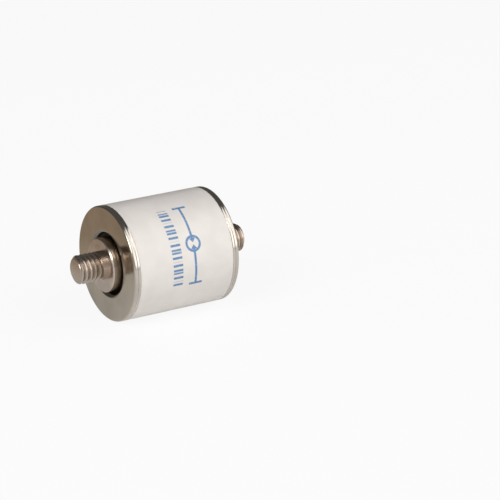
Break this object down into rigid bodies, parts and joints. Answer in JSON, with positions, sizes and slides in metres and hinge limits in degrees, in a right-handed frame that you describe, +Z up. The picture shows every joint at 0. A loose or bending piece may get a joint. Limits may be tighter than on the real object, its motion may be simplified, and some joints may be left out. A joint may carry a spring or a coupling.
{
  "type": "gas discharge tube",
  "caption": "Cylindrical ceramic gas discharge tube with nickel-plated end flanges and a threaded terminal stud on each end, for surge protection.",
  "frame": {"origin": "centre of the tube, on its axis", "axes": "+X along the tube's axis towards the rear stud, +Z up as the tube lies on its side"},
  "size_m": [0.0388, 0.024, 0.024],
  "materials": {
    "ceramic": "satin white ceramic",
    "nickel_plate": "nickel plate, satin",
    "nickel_stud": "nickel plate over turned steel",
    "seal_metal": "plated seal ring, bright edge",
    "copper": "turned copper",
    "emitter": "matt emission coating",
    "graphite": "matt graphite line"
  },
  "bodies": {
    "root": {"ceramic_tube": "ceramic", "ignition_strips": "graphite", "front_seal_ring": "seal_metal", "front_flange": "nickel_plate", "front_terminal_stud": "nickel_stud", "front_electrode": "copper", "front_emission_coating": "emitter", "rear_seal_ring": "seal_metal", "rear_flange": "nickel_plate", "rear_terminal_stud": "nickel_stud", "rear_electrode": "copper", "rear_emission_coating": "emitter"}
  },
  "joints": []
}
